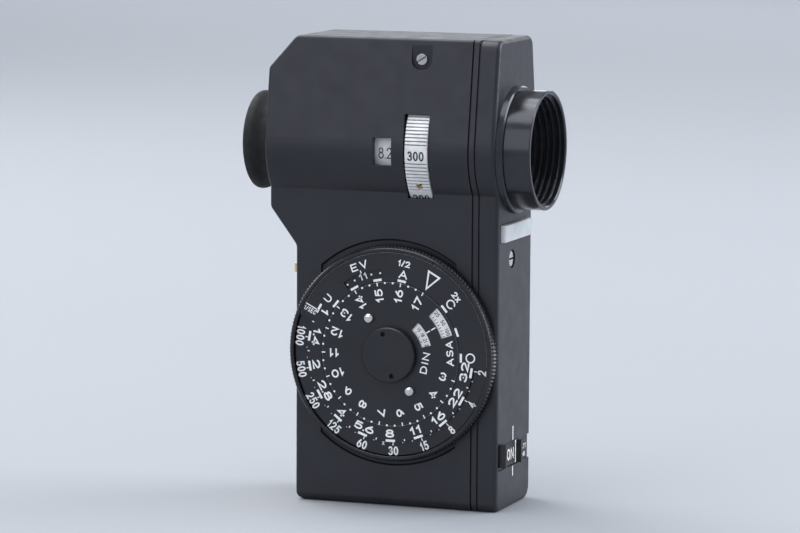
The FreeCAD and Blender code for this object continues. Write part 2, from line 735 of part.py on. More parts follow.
def make_meter():
    """A moving-coil movement above the light path, its pointer hanging before the reticle."""
    centre = (0, METER_HEIGHT)
    yoke_outer = rod("yoke_outer", "X", 7.5, -23, -15, centre)
    yoke_bore = rod("yoke_bore", "X", 6.0, -24, -14, centre)
    node("meter_yoke", cut("yoke", yoke_outer, yoke_bore))
    strut = block("core_strut", (-21, -5.9, METER_HEIGHT - 1), (-17, 5.9, METER_HEIGHT + 1))
    node("meter_core", joined("core", [rod("core_round", "X", 3.8, -22.8, -15.2, centre), strut]))
    frame = cut(
        "coil_frame",
        block("coil_outer", (-24.6, -1.3, METER_HEIGHT - 5.3), (-13.4, 1.3, METER_HEIGHT + 5.3)),
        block("coil_inner", (-23.6, -2, METER_HEIGHT - 4.3), (-14.4, 2, METER_HEIGHT + 4.3)),
    )
    left_pivot = rod("pivot_left", "X", 0.4, -27.2, -24.5, centre)
    right_pivot = rod("pivot_right", "X", 0.4, -13.5, -10.7, centre)
    node("moving_coil", joined("coil", [frame, left_pivot, right_pivot]))
    needle = block("needle", (-25.9, -0.25, METER_HEIGHT - 16.4), (-25.6, 0.25, METER_HEIGHT + 3.6))
    hub = rod("needle_hub", "X", 1.0, -26.0, -25.4, centre)
    bore = rod("needle_bore", "X", 0.42, -27, -25, centre)
    node("pointer", cut("pointer_piece", joined("needle_and_hub", [needle, hub]), bore))
    bracket = cut(
        "bracket_shape",
        block("bracket_block", (-27.5, -3, METER_HEIGHT - 4), (-10.3, 3, METER_HEIGHT + 8.6)),
        block("bracket_space", (-26.5, -4, METER_HEIGHT - 5), (-11.3, 4, METER_HEIGHT + 7.5)),
        rod("bracket_holes", "X", 0.46, -30, -8, centre),
    )
    node("meter_bracket", bracket)


# The calculator dial, turned about the dial's axis. Front is towards -Y.

def sector(inner, outer, start, end, back, front):
    """A ring sector about the dial's axis, between two angles from +X towards +Z, front at -Y."""
    centre = FreeCAD.Vector(size("dial_middle"), -back, size("dial_height"))
    whole = Part.makeCylinder(outer, front - back, centre, FreeCAD.Vector(0, -1, 0), end - start)
    core = Part.makeCylinder(inner, front - back, centre, FreeCAD.Vector(0, -1, 0))
    piece = whole.cut(core)
    middle_now = piece.Solids[0].CenterOfMass - centre
    angle_now = math.degrees(math.atan2(middle_now.z, middle_now.x))
    turn = (start + end) / 2 - angle_now
    piece.rotate(centre, FreeCAD.Vector(0, -1, 0), turn)
    return piece


def round_plate(inner, outer, back, front):
    centre = FreeCAD.Vector(size("dial_middle"), -back, size("dial_height"))
    axis = FreeCAD.Vector(0, -1, 0)
    plate = Part.makeCylinder(outer, front - back, centre, axis)
    return plate.cut(Part.makeCylinder(inner, front - back, centre, axis))


def scale_plate():
    """The ring plate with the aperture scale: full width at the top, narrower where the speeds show."""
    front = size("dial_front") - 0.3
    back = front - size("plate_thickness")
    outer = size("rim_inner") - 0.05
    plate = round_plate(size("plate_inner"), outer, back, front)
    narrow = sector(size("plate_narrow"), 40, *NARROW_PLATE, back - 1, front + 1)
    start, end, low, high = EV_WINDOW
    window = sector(low, high, start, end, back - 1, front + 1)
    key = sector(outer - 1, size("rim_radius") - 0.9, KEY_ANGLE - 3.2, KEY_ANGLE + 3.2, back, front)
    return plate.cut([narrow, window]).fuse(key).removeSplitter()


def film_dial():
    """The inner disc with the two film-speed windows."""
    front = size("dial_front") - 0.3
    back = front - size("plate_thickness")
    disc = round_plate(4.05, size("film_dial_radius"), back, front)
    windows = []
    for start, end, low, high in (ASA_WINDOW, DIN_WINDOW):
        windows.append(sector(low, high, start, end, back - 1, front + 1))
    return disc.cut(windows)


def make_dial():
    speed = [
        ("-grip_half_depth + pocket_depth - 0.05", 3.0),
        ("-grip_half_depth + pocket_depth - 0.05", 12.0),
        (-15.3, 12.0),
        (-15.3, "rim_inner - 0.2"),
        ("-dial_front + 0.9", "rim_inner - 0.2"),
        ("-dial_front + 0.9", 9.2),
        ("-dial_front + 1.4", 9.2),
        ("-dial_front + 1.4", 3.0),
    ]
    node("speed_disc", turned("speed", "Y", speed))
    node("wave_washer", ring("washer", "Y", 8.8, 4.4, "-dial_front + 1.35", "-dial_front + 0.95"))
    rim = [
        ("-grip_half_depth - 0.15", "rim_inner"),
        ("-grip_half_depth - 0.15", "rim_radius - 0.4"),
        ("-grip_half_depth - 0.5", "rim_radius"),
        ("-dial_front + 0.8", "rim_radius"),
        ("-dial_front", "rim_radius - 0.8"),
        ("-dial_front", "rim_inner + 0.15"),
        ("-dial_front + 0.15", "rim_inner"),
    ]
    front = size("dial_front")
    reach = size("rim_radius") - 0.86
    notch = sector(25, reach, KEY_ANGLE - 3.35, KEY_ANGLE + 3.35, front - 0.82, front + 1)
    node("exposure_ring", cut("rim", turned("rim_turned", "Y", rim), coded("key_notch", notch)))
    node("scale_plate", coded("plate", scale_plate()))
    node("film_dial", coded("inner_disc", film_dial()))
    pins = []
    for name, angle in (("upper_pin", PIN_ANGLE), ("lower_pin", PIN_ANGLE + 180)):
        x = f"dial_middle + pin_circle * cos({angle} deg)"
        z = f"dial_height + pin_circle * sin({angle} deg)"
        pins.append(rod(name, "Y", "pin_radius", "-dial_front - 1.1", "-dial_front + 0.3", (x, z)))
    node("grip_pins", grouped("pins", pins))
    cap = [
        ("-dial_front + 0.9", 0),
        ("-dial_front + 0.9", 4.0),
        ("-dial_front + 0.25", 4.0),
        ("-dial_front + 0.25", "cap_radius"),
        ("-cap_front + 0.3", "cap_radius"),
        ("-cap_front", "cap_radius - 0.3"),
        ("-cap_front", 0),
    ]
    holes = []
    for name, angle in (("upper_hole", SPANNER_ANGLE), ("lower_hole", SPANNER_ANGLE + 180)):
        x = f"dial_middle + {SPANNER_REACH} * cos({angle} deg)"
        z = f"dial_height + {SPANNER_REACH} * sin({angle} deg)"
        holes.append(rod(name, "Y", 0.7, "-cap_front - 1", "-cap_front + 1.2", (x, z)))
    node("dial_cap", cut("cap", turned("cap_turned", "Y", cap), *holes))
    axis = ("dial_middle", "dial_height")
    node("dial_post", rod("post", "Y", 2.95, "-dial_front + 0.95", -9.2, axis))
    nut = document.addObject("Part::Prism", "nut_blank")
    nut.Polygon = 6
    nut.Circumradius = 5.2
    nut.Height = 1.6
    place(nut, ("dial_middle", "-grip_half_depth + wall + fit", "dial_height"), ALONG["Y"])
    node("post_nut", cut("nut", nut, rod("nut_bore", "Y", 3.0, -14, -6, axis)))


def make_switch():
    front = "grip_half_width"
    z = SWITCH_HEIGHT
    slider = [
        block("slider_plate", (front + " - 0.75", -12.0, z - 3.1), (front + " - 0.25", 5.4, z + 3.1)),
        block("left_ridge", (front + " - 0.3", -11.9, z - 2.3), (front + " + 0.2", -10.7, z + 3.1)),
        block("left_grip", (front + " + 0.1", -11.9, z - 2.3), (front + " + 1.9", -10.7, z + 3.9)),
        block("right_ridge", (front + " - 0.3", 3.1, z - 3.1), (front + " + 1.1", 4.3, z + 2.9)),
        block("slider_stem", (24.6, -1.0, z - 1.0), (front + " - 0.7", 1.0, z + 1.0)),
    ]
    node("switch_slider", joined("slider_shape", slider))
    body = block("switch_block", (23.7, -9, z - 4), (front + " - wall - fit", 9, z + 4))
    slot = block("switch_slot", (24.4, -1.6, z - 1.3), (28, 6.0, z + 1.3))
    node("switch_body", cut("switch", body, slot))


def make_electronics():
    low, high = BATTERY
    middle_y = (low[1] + high[1]) / 2
    middle_x = (low[0] + high[0]) / 2
    terminals = [
        rod("small_terminal", "Z", 2.9, high[2] - 0.1, high[2] + 2.4, (middle_x - 6.3, middle_y)),
        rod("large_terminal", "Z", 4.2, high[2] - 0.1, high[2] + 2.4, (middle_x + 6.3, middle_y)),
    ]
    node("battery", joined("battery_shape", [block("battery_case", low, high), *terminals]))
    snap_low = high[2] + 2.5
    low_corner = (low[0] + 0.5, middle_y - 6, snap_low)
    high_corner = (high[0] - 0.5, middle_y + 6, snap_low + 1.6)
    node("battery_snap", block("snap", low_corner, high_corner))
    board = block("board_sheet", (-24.5, BOARD_BACK - 1.6, 8), (19, BOARD_BACK, 70))
    hole = rod("board_hole", "Y", 6.2, -12, -6, ("dial_middle", "dial_height"))
    node("circuit_board", cut("board", board, hole))
    trimmers = [
        rod(f"trimmer_{number}", "Y", 2.8, BOARD_BACK, BOARD_BACK + 3.6, (11.5, 16 + 9 * number))
        for number in range(3)
    ]
    node("trimmers", grouped("trimmer_group", trimmers))
    middle = (11.5, BOARD_BACK + 2.4)
    capacitors = [
        rod(f"capacitor_{number}", "Z", 2.4, 46 + 8.5 * number, 53 + 8.5 * number, middle)
        for number in range(2)
    ]
    node("capacitors", grouped("capacitor_group", capacitors))


def make_door():
    depth = "grip_half_depth"
    hinge_z = "door_bottom + knuckle_radius"
    hinge = (HINGE_Y, hinge_z)
    low = ("-door_left", depth + " - wall", hinge_z)
    panel = block("door_panel", low, ("door_right", depth, "door_top"))
    knuckle = rod("door_knuckle", "X", "knuckle_radius", "-door_left", "door_right", hinge)
    tools = [rod("door_bore", "X", "hinge_radius + fit", "-door_left - 1", "door_right + 1", hinge)]
    for name, (left, right) in (("left", EAR_LEFT), ("right", EAR_RIGHT)):
        low = (left - 0.2, HINGE_Y - 3, "door_bottom - 1")
        high = (right + 0.2, depth + " + 1", hinge_z + " + knuckle_radius + 0.2")
        tools.append(block(name + "_ear_space", low, high))
    tools.append(rod("door_screw_seat", "Y", 2.3, depth + " - 0.8", depth + " + 1", DOOR_SCREW))
    tools.append(rod("door_screw_hole", "Y", 1.1, depth + " - 4", depth + " + 1", DOOR_SCREW))
    node("battery_door", cut("door", joined("door_blank", [panel, knuckle]), *tools))
    node("hinge_pin", rod("pin", "X", "hinge_radius", EAR_LEFT[0] + 0.2, EAR_RIGHT[1] - 0.2, hinge))
    seat = size(depth) - 0.8
    screw = slotted_screw("Y", DOOR_SCREW, 2.2, 1.05, seat - 2.4, seat, seat + 0.8, 0.7)
    node("door_screw", coded("door_fastener", screw))


def check(items):
    """Stops with a message if anything in the document failed or a sub-part isn't a valid solid."""
    failed = [item.Label for item in document.Objects if {"Invalid", "Error"} & set(item.State)]
    if failed:
        raise SystemExit(f"failed: {failed}")
    for item in items:
        if item.Shape.isNull() or not item.Shape.isValid() or not item.Shape.Solids:
            raise SystemExit(f"not a valid solid: {item.Label}")


make_case()
make_strap_lug()
make_hood()
make_barrel()
make_zoom()
make_light_path()
make_eyepiece()
make_meter()
make_dial()
make_switch()
make_electronics()
make_door()
document.recompute()
check(nodes)
os.makedirs("parts", exist_ok=True)
for item in nodes:
    item.Shape.exportStep(f"parts/{item.Label}.step")
    print(item.Label, len(item.Shape.Solids), round(item.Shape.Volume, 1))
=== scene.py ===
"""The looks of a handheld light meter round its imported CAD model.

The CAD's frame has X along the optical axis towards the subject, -Y the side with the calculator dial
and Z up. The camera, the lights and the floor are given in metres, the meter's pieces in millimetres.
Positions on the dial are a radius and an angle in degrees from +X towards +Z, as seen from the front.
"""

import math

import bmesh
import bpy
from mathutils import Matrix, Vector


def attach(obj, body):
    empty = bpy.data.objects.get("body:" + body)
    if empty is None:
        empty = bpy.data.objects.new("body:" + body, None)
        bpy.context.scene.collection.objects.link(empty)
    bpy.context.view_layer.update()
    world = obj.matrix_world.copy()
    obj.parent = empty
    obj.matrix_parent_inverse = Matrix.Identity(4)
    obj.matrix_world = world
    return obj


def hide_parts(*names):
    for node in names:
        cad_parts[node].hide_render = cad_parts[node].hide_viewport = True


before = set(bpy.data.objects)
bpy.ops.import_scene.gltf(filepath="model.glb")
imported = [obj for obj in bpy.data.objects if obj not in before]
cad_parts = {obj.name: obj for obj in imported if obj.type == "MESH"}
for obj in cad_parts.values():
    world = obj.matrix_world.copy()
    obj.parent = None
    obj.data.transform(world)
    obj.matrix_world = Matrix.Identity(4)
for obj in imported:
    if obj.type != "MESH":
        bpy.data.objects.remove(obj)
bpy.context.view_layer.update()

MM = 0.001
FULL_TURN = 2 * math.pi
scene = bpy.context.scene

# The axes and the faces that carry type, in millimetres; the dial's faces are in front of the middle.

DIAL_X = -0.5
DIAL_Z = 41.4
AXIS_Z = 95.6
PLATE_FACE = 16.9
DISC_FACE = 16.3
NOSE_FACE = 28.6


# Camera, light and floor.


def add_camera():
    """A viewpoint 20 degrees round from the dial side and 7 above, with a long lens."""
    azimuth = math.radians(20.27)
    elevation = math.radians(7.13)
    roll = math.radians(0.32)
    distance = 1.0913
    target = Vector((-0.004, 0.0, 0.06274))
    back = Vector((
        math.sin(azimuth) * math.cos(elevation),
        -math.cos(azimuth) * math.cos(elevation),
        math.sin(elevation),
    ))
    right = Vector((math.cos(azimuth), math.sin(azimuth), 0.0))
    up = back.cross(right)
    tilted_right = right * math.cos(roll) + up * math.sin(roll)
    tilted_up = up * math.cos(roll) - right * math.sin(roll)
    data = bpy.data.cameras.new("camera")
    data.sensor_width = 36.0
    data.lens = 183.07
    data.clip_end = 20.0
    camera = bpy.data.objects.new("camera", data)
    scene.collection.objects.link(camera)
    axes = Matrix((tilted_right, tilted_up, back)).transposed().to_4x4()
    camera.matrix_world = Matrix.Translation(target + back * distance) @ axes
    scene.camera = camera


def add_softbox(name, place, target, width, height, watts, colour):
    """A rectangular light that faces a target."""
    data = bpy.data.lights.new(name, "AREA")
    data.shape = "RECTANGLE"
    data.size = width
    data.size_y = height
    data.energy = watts
    data.color = colour
    lamp = bpy.data.objects.new(name, data)
    scene.collection.objects.link(lamp)
    lamp.location = place
    lamp.rotation_euler = (Vector(target) - Vector(place)).to_track_quat("-Z", "Y").to_euler()


def add_light():
    """A cool sky, softboxes round the meter and one that lights the backdrop."""
    world = bpy.data.worlds.new("surroundings")
    world.use_nodes = True
    background = world.node_tree.nodes["Background"]
    background.inputs["Color"].default_value = (0.66, 0.71, 0.79, 1.0)
    background.inputs["Strength"].default_value = 0.9
    scene.world = world
    middle = (0.0, 0.0, 0.06)
    add_softbox("upper_left", (-0.8, 0.42, 0.95), middle, 0.8, 1.4, 13.0, (0.98, 0.99, 1.0))
    add_softbox("overhead", (-0.25, -0.25, 1.4), middle, 1.0, 1.0, 10.0, (1.0, 1.0, 1.0))
    add_softbox("right", (1.15, 0.55, 0.6), middle, 1.0, 1.0, 20.0, (0.92, 0.96, 1.0))
    add_softbox("front", (-0.7, -1.5, 0.8), middle, 1.2, 1.2, 5.5, (1.0, 1.0, 1.0))
    add_softbox("behind", (-0.1, 2.4, 0.75), middle, 3.0, 0.5, 9.5, (0.97, 0.99, 1.0))
    backdrop = (-0.9, 3.5, 0.5)
    add_softbox("backdrop", (-0.7, 2.1, 1.8), backdrop, 1.6, 1.0, 12.0, (0.97, 0.99, 1.0))


def add_floor(material):
    """A sheet that fills the view and rises behind in a long curve."""
    half = 4.0
    bend_start = 2.6
    bend = 1.2
    steps = 16
    rows = [(-half, 0.0), (bend_start, 0.0)]
    for step in range(1, steps + 1):
        angle = 0.5 * math.pi * step / steps
        rows.append((bend_start + bend * math.sin(angle), bend * (1 - math.cos(angle))))
    rows.append((bend_start + bend, bend + 2.0))
    points = [(side * half, y, z) for y, z in rows for side in (-1, 1)]
    faces = [(2 * row, 2 * row + 1, 2 * row + 3, 2 * row + 2) for row in range(len(rows) - 1)]
    mesh = bpy.data.meshes.new("floor")
    mesh.from_pydata(points, [], faces)
    mesh.polygons.foreach_set("use_smooth", [True] * len(faces))
    mesh.materials.append(material)
    floor = bpy.data.objects.new("floor", mesh)
    scene.collection.objects.link(floor)


# Materials. Each is a Principled shader whose colour, roughness or bump is varied by noise.

COOL_SHEEN = (0.88, 0.90, 1.0, 1.0)
LINES_PER_UNIT = 0.314  # the wave texture's scale that gives one line in each unit of length
MIX_FIRST_COLOUR = 6  # the mix node has sockets of one name for each type, so they go by number
MIX_SECOND_COLOUR = 7
MIX_RESULT_COLOUR = 2


class Finish:
    """A material under construction."""

    def __init__(self, name, **values):
        """Values go to the shader's sockets of the same names, with _ for a space."""
        self.material = bpy.data.materials.new(name)
        self.material.use_nodes = True
        self.tree = self.material.node_tree
        self.shader = self.tree.nodes["Principled BSDF"]
        for socket, value in values.items():
            self.shader.inputs[socket.replace("_", " ")].default_value = value
        self.place = self.add("ShaderNodeTexCoord").outputs["Object"]
        self.normal = None

    def add(self, kind):
        return self.tree.nodes.new(kind)

    def link(self, start, end):
        self.tree.links.new(start, end)

    def soften(self, radius):
        """Shades sharp edges as if they were rounded to a radius in millimetres."""
        item = self.add("ShaderNodeBevel")
        item.samples = 6
        item.inputs["Radius"].default_value = radius * MM
        self.normal = item.outputs["Normal"]
        return self

    def noise(self, size, detail=3.0):
        """A noise whose features have a size in millimetres."""
        noise = self.add("ShaderNodeTexNoise")
        noise.inputs["Scale"].default_value = 1 / (size * MM)
        noise.inputs["Detail"].default_value = detail
        self.link(self.place, noise.inputs["Vector"])
        return noise.outputs["Fac"]

    def bands(self, size, axis):
        """Fine parallel lines across an axis, a size in millimetres apart, slightly uneven."""
        wave = self.add("ShaderNodeTexWave")
        wave.wave_type = "BANDS"
        wave.bands_direction = axis
        wave.inputs["Scale"].default_value = LINES_PER_UNIT / (size * MM)
        wave.inputs["Distortion"].default_value = 1.5
        wave.inputs["Detail"].default_value = 2.0
        self.link(self.place, wave.inputs["Vector"])
        return wave.outputs["Fac"]

    def ramp(self, value, low, high, first, second):
        """A number spread from (low, high) to two colours or two numbers."""
        item = self.add("ShaderNodeValToRGB")
        item.color_ramp.elements[0].position = low
        item.color_ramp.elements[1].position = high
        for element, colour in zip(item.color_ramp.elements, (first, second)):
            if isinstance(colour, float):
                colour = (colour, colour, colour)
            element.color = (*colour, 1.0)
        self.link(value, item.inputs["Fac"])
        return item.outputs["Color"]

    def paint(self, value, low, high, first, second):
        """Two colours that a number mixes."""
        self.link(self.ramp(value, low, high, first, second), self.shader.inputs["Base Color"])

    def soil(self, reach, darkest):
        """Paints shade into hollows about as narrow as a reach in millimetres: an occlusion mask darkens
        their colour down to a share of it.
        """
        hollow = self.add("ShaderNodeAmbientOcclusion")
        hollow.samples = 8
        hollow.only_local = True
        hollow.inputs["Distance"].default_value = reach * MM
        # painted shade: the occlusion mask darkens the colour in narrow hollows such as slots and grooves
        shade = self.ramp(hollow.outputs["AO"], 0.35, 0.9, darkest, 1.0)
        unshaded = self.shader.inputs["Base Color"].links[0].from_socket
        mixed = self.add("ShaderNodeMix")
        mixed.data_type = "RGBA"
        mixed.blend_type = "MULTIPLY"
        mixed.inputs["Factor"].default_value = 1.0
        self.link(unshaded, mixed.inputs[MIX_FIRST_COLOUR])
        self.link(shade, mixed.inputs[MIX_SECOND_COLOUR])
        self.link(mixed.outputs[MIX_RESULT_COLOUR], self.shader.inputs["Base Color"])

    def polish(self, value, low, high, first, second):
        """Two roughnesses that a number mixes."""
        self.link(self.ramp(value, low, high, first, second), self.shader.inputs["Roughness"])

    def bump(self, value, depth):
        """Raises the surface by up to a depth in millimetres."""
        item = self.add("ShaderNodeBump")
        item.inputs["Strength"].default_value = 1.0
        item.inputs["Distance"].default_value = depth * MM
        self.link(value, item.inputs["Height"])
        if self.normal is not None:
            self.link(self.normal, item.inputs["Normal"])
        self.normal = item.outputs["Normal"]
        self.link(self.normal, self.shader.inputs["Normal"])


def black_paint(name, light, dark, smooth, rough, edge):
    """Satin black paint: a fine orange peel, faint blotches and slightly uneven gloss."""
    finish = Finish(name, IOR=1.5, Specular_Tint=COOL_SHEEN).soften(edge)
    finish.paint(finish.noise(14.0, 4.0), 0.35, 0.7, dark, light)
    finish.polish(finish.noise(5.0, 5.0), 0.3, 0.75, smooth, rough)
    finish.bump(finish.noise(0.22, 2.0), 0.004)
    finish.bump(finish.noise(2.6, 2.0), 0.006)
    return finish.material


def turned_black(name, axis, colour, smooth, rough):
    """Black anodised metal with the fine lines of the lathe."""
    finish = Finish(name, IOR=1.5, Specular_Tint=COOL_SHEEN).soften(0.15)
    finish.paint(finish.noise(6.0), 0.3, 0.7, tuple(0.7 * part for part in colour), colour)
    finish.polish(finish.noise(3.0, 5.0), 0.3, 0.7, smooth, rough)
    finish.bump(finish.bands(0.18, axis), 0.0015)
    return finish.material


def metal(name, colour, smooth, rough, grain=0.35, depth=0.003, metallic=1.0, hollow_shade=0.06):
    """Bare or plated metal with a fine grain, stains and painted shade in its hollows."""
    finish = Finish(name, Metallic=metallic).soften(0.08)
    finish.paint(finish.noise(2.2, 5.0), 0.3, 0.75, tuple(0.82 * part for part in colour), colour)
    # painted shade in narrow hollows, as dark as the last argument says
    finish.soil(0.6, hollow_shade)
    finish.polish(finish.noise(1.2, 5.0), 0.3, 0.7, smooth, rough)
    finish.bump(finish.noise(grain, 3.0), depth)
    return finish.material


def plastic(name, light, dark, smooth, rough, grain=0.3, depth=0.006):
    """Moulded plastic or rubber with a fine grain."""
    finish = Finish(name, IOR=1.46).soften(0.12)
    finish.paint(finish.noise(8.0, 4.0), 0.3, 0.7, dark, light)
    finish.polish(finish.noise(2.0, 4.0), 0.3, 0.7, smooth, rough)
    finish.bump(finish.noise(grain, 2.0), depth)
    return finish.material


def clear_glass(name, tint):
    """Polished glass with faint smears."""
    finish = Finish(name, Transmission_Weight=1.0, IOR=1.52, Base_Color=(*tint, 1.0))
    finish.polish(finish.noise(3.0, 5.0), 0.45, 0.8, 0.01, 0.05)
    return finish.material


def frosted(name):
    """Opal plastic: it scatters light below its skin."""
    finish = Finish(name, IOR=1.46, Subsurface_Weight=0.35, Subsurface_Scale=0.002)
    finish.paint(finish.noise(3.0, 3.0), 0.3, 0.7, (0.42, 0.44, 0.47), (0.50, 0.52, 0.55))
    finish.polish(finish.noise(1.5, 3.0), 0.3, 0.7, 0.38, 0.55)
    finish.bump(finish.noise(0.5, 2.0), 0.01)
    return finish.material


def lettering(name, light, dark, smooth, rough):
    """A thin layer of paint or ink."""
    finish = Finish(name, IOR=1.45)
    finish.paint(finish.noise(0.8), 0.3, 0.7, dark, light)
    finish.polish(finish.noise(0.5), 0.3, 0.7, smooth, rough)
    return finish.material


def make_finishes():
    """A material for each of the record's slots, for the drum and for the lettering."""
    case_light = (0.0148, 0.0145, 0.0185)
    case_dark = (0.0105, 0.0103, 0.0135)
    dial_light = (0.013, 0.013, 0.0155)
    dial_dark = (0.0095, 0.0095, 0.012)
    return {
        "case_black": black_paint("case_paint", case_light, case_dark, 0.36, 0.48, 0.25),
        "hood_black": turned_black("hood_anodised", "X", (0.022, 0.022, 0.027), 0.12, 0.2),
        "dial_black": black_paint("dial_paint", dial_light, dial_dark, 0.28, 0.38, 0.2),
        "rim_black": turned_black("rim_anodised", "Y", (0.012, 0.012, 0.013), 0.20, 0.30),
        # the ring's grooves get painted shade, down to 0.55 of their colour
        "bright_metal": metal("satin_silver", (0.92, 0.92, 0.92), 0.42, 0.58, metallic=0.7, hollow_shade=0.55),
        "screw_steel": metal("screw_steel", (0.74, 0.74, 0.75), 0.10, 0.20),
        "brass": metal("brass", (0.72, 0.56, 0.28), 0.28, 0.45),
        "soft_rubber": plastic("eyecup_rubber", (0.010, 0.010, 0.012), (0.007, 0.007, 0.008), 0.60, 0.80),
        "lens_glass": clear_glass("coated_glass", (0.93, 0.95, 0.99)),
        "frosted_plastic": frosted("opal_plastic"),
        "inner_metal": metal("inner_metal", (0.30, 0.30, 0.31), 0.35, 0.55),
        "meter_steel": metal("meter_steel", (0.55, 0.56, 0.58), 0.25, 0.45),
        "copper_coil": metal("coil_wire", (0.60, 0.26, 0.12), 0.25, 0.45, 0.12, 0.01),
        "board_green": plastic("circuit_board", (0.03, 0.13, 0.06), (0.02, 0.09, 0.04), 0.35, 0.5),
        "switch_black": plastic("switch_plastic", (0.017, 0.017, 0.019), (0.011, 0.011, 0.012), 0.4, 0.55),
        "battery_case": plastic("battery_sleeve", (0.05, 0.05, 0.06), (0.035, 0.035, 0.04), 0.3, 0.45),
        "drum_white": plastic("drum_paint", (0.90, 0.90, 0.90), (0.82, 0.82, 0.83), 0.35, 0.5),
        "engraving_white": lettering("white_paint", (0.93, 0.93, 0.93), (0.84, 0.85, 0.86), 0.5, 0.7),
        "engraving_black": lettering("black_ink", (0.03, 0.03, 0.032), (0.012, 0.012, 0.014), 0.4, 0.6),
    }


def floor_paper():
    """Pale paper, a little lighter towards the back: the lighter far part is painted light on the far
    paper.
    """
    finish = Finish("paper", IOR=1.4, Roughness=0.75)
    split = finish.add("ShaderNodeSeparateXYZ")
    finish.link(finish.place, split.inputs["Vector"])
    spread = finish.add("ShaderNodeMapRange")
    spread.inputs["From Min"].default_value = 0.3
    spread.inputs["From Max"].default_value = 2.4
    finish.link(split.outputs["Y"], spread.inputs["Value"])
    # painted light: the colour rises from near to far, standing in for the light on the far paper
    finish.paint(spread.outputs["Result"], 0.0, 1.0, (0.325, 0.337, 0.361), (0.45, 0.466, 0.498))
    finish.bump(finish.noise(1.2, 3.0), 0.01)
    return finish.material


# Meshes.


class Pieces:
    """Vertices, in millimetres, and faces of one mesh that is put together from parts."""

    def __init__(self):
        self.points = []
        self.faces = []

    def add(self, points, faces):
        first = len(self.points)
        self.points.extend(points)
        self.faces.extend(tuple(first + index for index in face) for face in faces)

    def prism(self, outline, thickness, place):
        """A flat plate, put down by a function; its outline is (across, up) pairs, anticlockwise."""
        count = len(outline)
        points = [place(u, v, height) for height in (0.0, thickness) for u, v in outline]
        sides = [(i, (i + 1) % count, count + (i + 1) % count, count + i) for i in range(count)]
        self.add(points, [tuple(reversed(range(count))), tuple(range(count, 2 * count)), *sides])

    def grid(self, rows, closed_rows, closed_columns):
        """A surface through rows of points."""
        height = len(rows)
        width = len(rows[0])
        faces = []
        for row in range(height if closed_rows else height - 1):
            for column in range(width if closed_columns else width - 1):
                below = (row + 1) % height
                beside = (column + 1) % width
                faces.append((
                    row * width + column,
                    row * width + beside,
                    below * width + beside,
                    below * width + column,
                ))
        self.add([point for row in rows for point in row], faces)

    def rod(self, rows):
        """A surface through rings of points, with its two ends filled."""
        count = len(rows[0])
        first = len(self.points)
        last = first + count * (len(rows) - 1)
        self.grid(rows, False, True)
        self.faces.append(tuple(range(first, first + count)))
        self.faces.append(tuple(range(last, last + count)))

    def make(self, name, body, slot, smooth_angle=None):
        """The finished object, riding on a body, in a slot's finish."""
        mesh = bpy.data.meshes.new(name)
        mesh.from_pydata([Vector(point) * MM for point in self.points], [], self.faces)
        work = bmesh.new()
        work.from_mesh(mesh)
        bmesh.ops.recalc_face_normals(work, faces=work.faces)
        work.to_mesh(mesh)
        work.free()
        if smooth_angle is not None:
            mesh.shade_smooth()
            mesh.set_sharp_from_angle(angle=math.radians(smooth_angle))
        return finished(name, mesh, body, slot)


def finished(name, mesh, body, slot):
    """A mesh as an object of its body and finish; lettering has a finish but no slot."""
    mesh.materials.append(finishes[slot])
    item = bpy.data.objects.new(name, mesh)
    scene.collection.objects.link(item)
    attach(item, body)
    return item


def smooth_profile(points, steps):
    """More points along a line through the given ones, rounded as a Catmull-Rom curve."""
    line = []
    last = len(points) - 1
    for index in range(last):
        before = Vector(points[max(index - 1, 0)])
        start = Vector(points[index])
        end = Vector(points[index + 1])
        after = Vector(points[min(index + 2, last)])
        for step in range(steps):
            t = step / steps
            line.append(tuple(0.5 * (
                2 * start
                + (end - before) * t
                + (2 * before - 5 * start + 4 * end - after) * t**2
                + (3 * start - before - 3 * end + after) * t**3
            )))
    line.append(tuple(points[-1]))
    return line


def about_x(along, radius, angle):
    """A point about the optical axis; the angle is 0 at the front and rises."""
    return (along, -radius * math.cos(angle), AXIS_Z + radius * math.sin(angle))


def about_dial(depth, radius, angle):
    """A point about the dial's axis, a depth in front of the case's middle."""
    return (DIAL_X + radius * math.cos(angle), -depth, DIAL_Z + radius * math.sin(angle))


# Lettering: each character is a few lines in a box one wide and one high, drawn with an even stroke.
# A glyph gives its width as a share of a digit's, then its lines.

PAINT = 0.03  # how far lettering stands above its surface
SUNK = 0.02  # how far it goes below
OVERLAP = 0.004  # how far each line of a character stands above the one before
SAME_POINT = 1e-6
LINE_END = 0.8  # how far a line goes on past its ends, in half widths
SHARPEST_CORNER = 0.45  # the least cosine that a corner is drawn out to a point for


def arc(middle, size, start, end):
    """Points along an ellipse of two half sizes, between two angles."""
    steps = max(4, round(abs(end - start) / 22))
    turns = [math.radians(start + (end - start) * step / steps) for step in range(steps + 1)]
    x, y = middle
    wide, high = size
    return [(x + wide * math.cos(turn), y + high * math.sin(turn)) for turn in turns]


